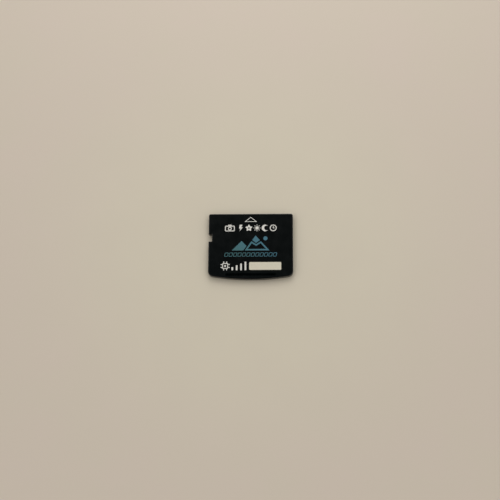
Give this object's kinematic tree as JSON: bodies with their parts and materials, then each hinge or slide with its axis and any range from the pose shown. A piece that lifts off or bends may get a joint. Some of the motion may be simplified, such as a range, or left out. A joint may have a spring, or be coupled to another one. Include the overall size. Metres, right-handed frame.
{
  "type": "camera memory card",
  "caption": "Thin rectangular camera memory card with a bowed grip edge, a fingernail groove, a key notch in one side and a recessed row of gold contacts on its back.",
  "frame": {"origin": "under the middle of the card, on the plane of the back rim that it lies on", "axes": "+X across the card, its longest side; +Y towards the insertion edge; +Z out of the printed face"},
  "size_m": [0.025, 0.02, 0.0018],
  "materials": {
    "case_plastic": "black moulded plastic with a fine satin texture",
    "board_laminate": "black solder mask on glass-epoxy laminate",
    "contact_gold": "gold plating over nickel, satin",
    "silicon": "ground silicon",
    "resin": "black filled epoxy, matt",
    "adhesive": "clear amber film",
    "white_ink": "screen-printed ink, matt",
    "panel_ink": "screen-printed writable ink, matt",
    "teal_ink": "screen-printed metallic ink, satin"
  },
  "bodies": {
    "root": {"case": "case_plastic", "contact_board": "board_laminate", "memory_die_lower": "silicon", "memory_die_upper": "silicon", "resin_body": "resin", "bond_film": "adhesive", "contact_01": "contact_gold", "contact_02": "contact_gold", "contact_03": "contact_gold", "contact_04": "contact_gold", "contact_05": "contact_gold", "contact_06": "contact_gold", "contact_07": "contact_gold", "contact_08": "contact_gold", "contact_09": "contact_gold", "contact_10": "contact_gold", "contact_11": "contact_gold", "contact_12": "contact_gold", "contact_13": "contact_gold", "contact_14": "contact_gold", "contact_15": "contact_gold", "contact_16": "contact_gold", "contact_17": "contact_gold", "contact_18": "contact_gold"}
  },
  "joints": []
}
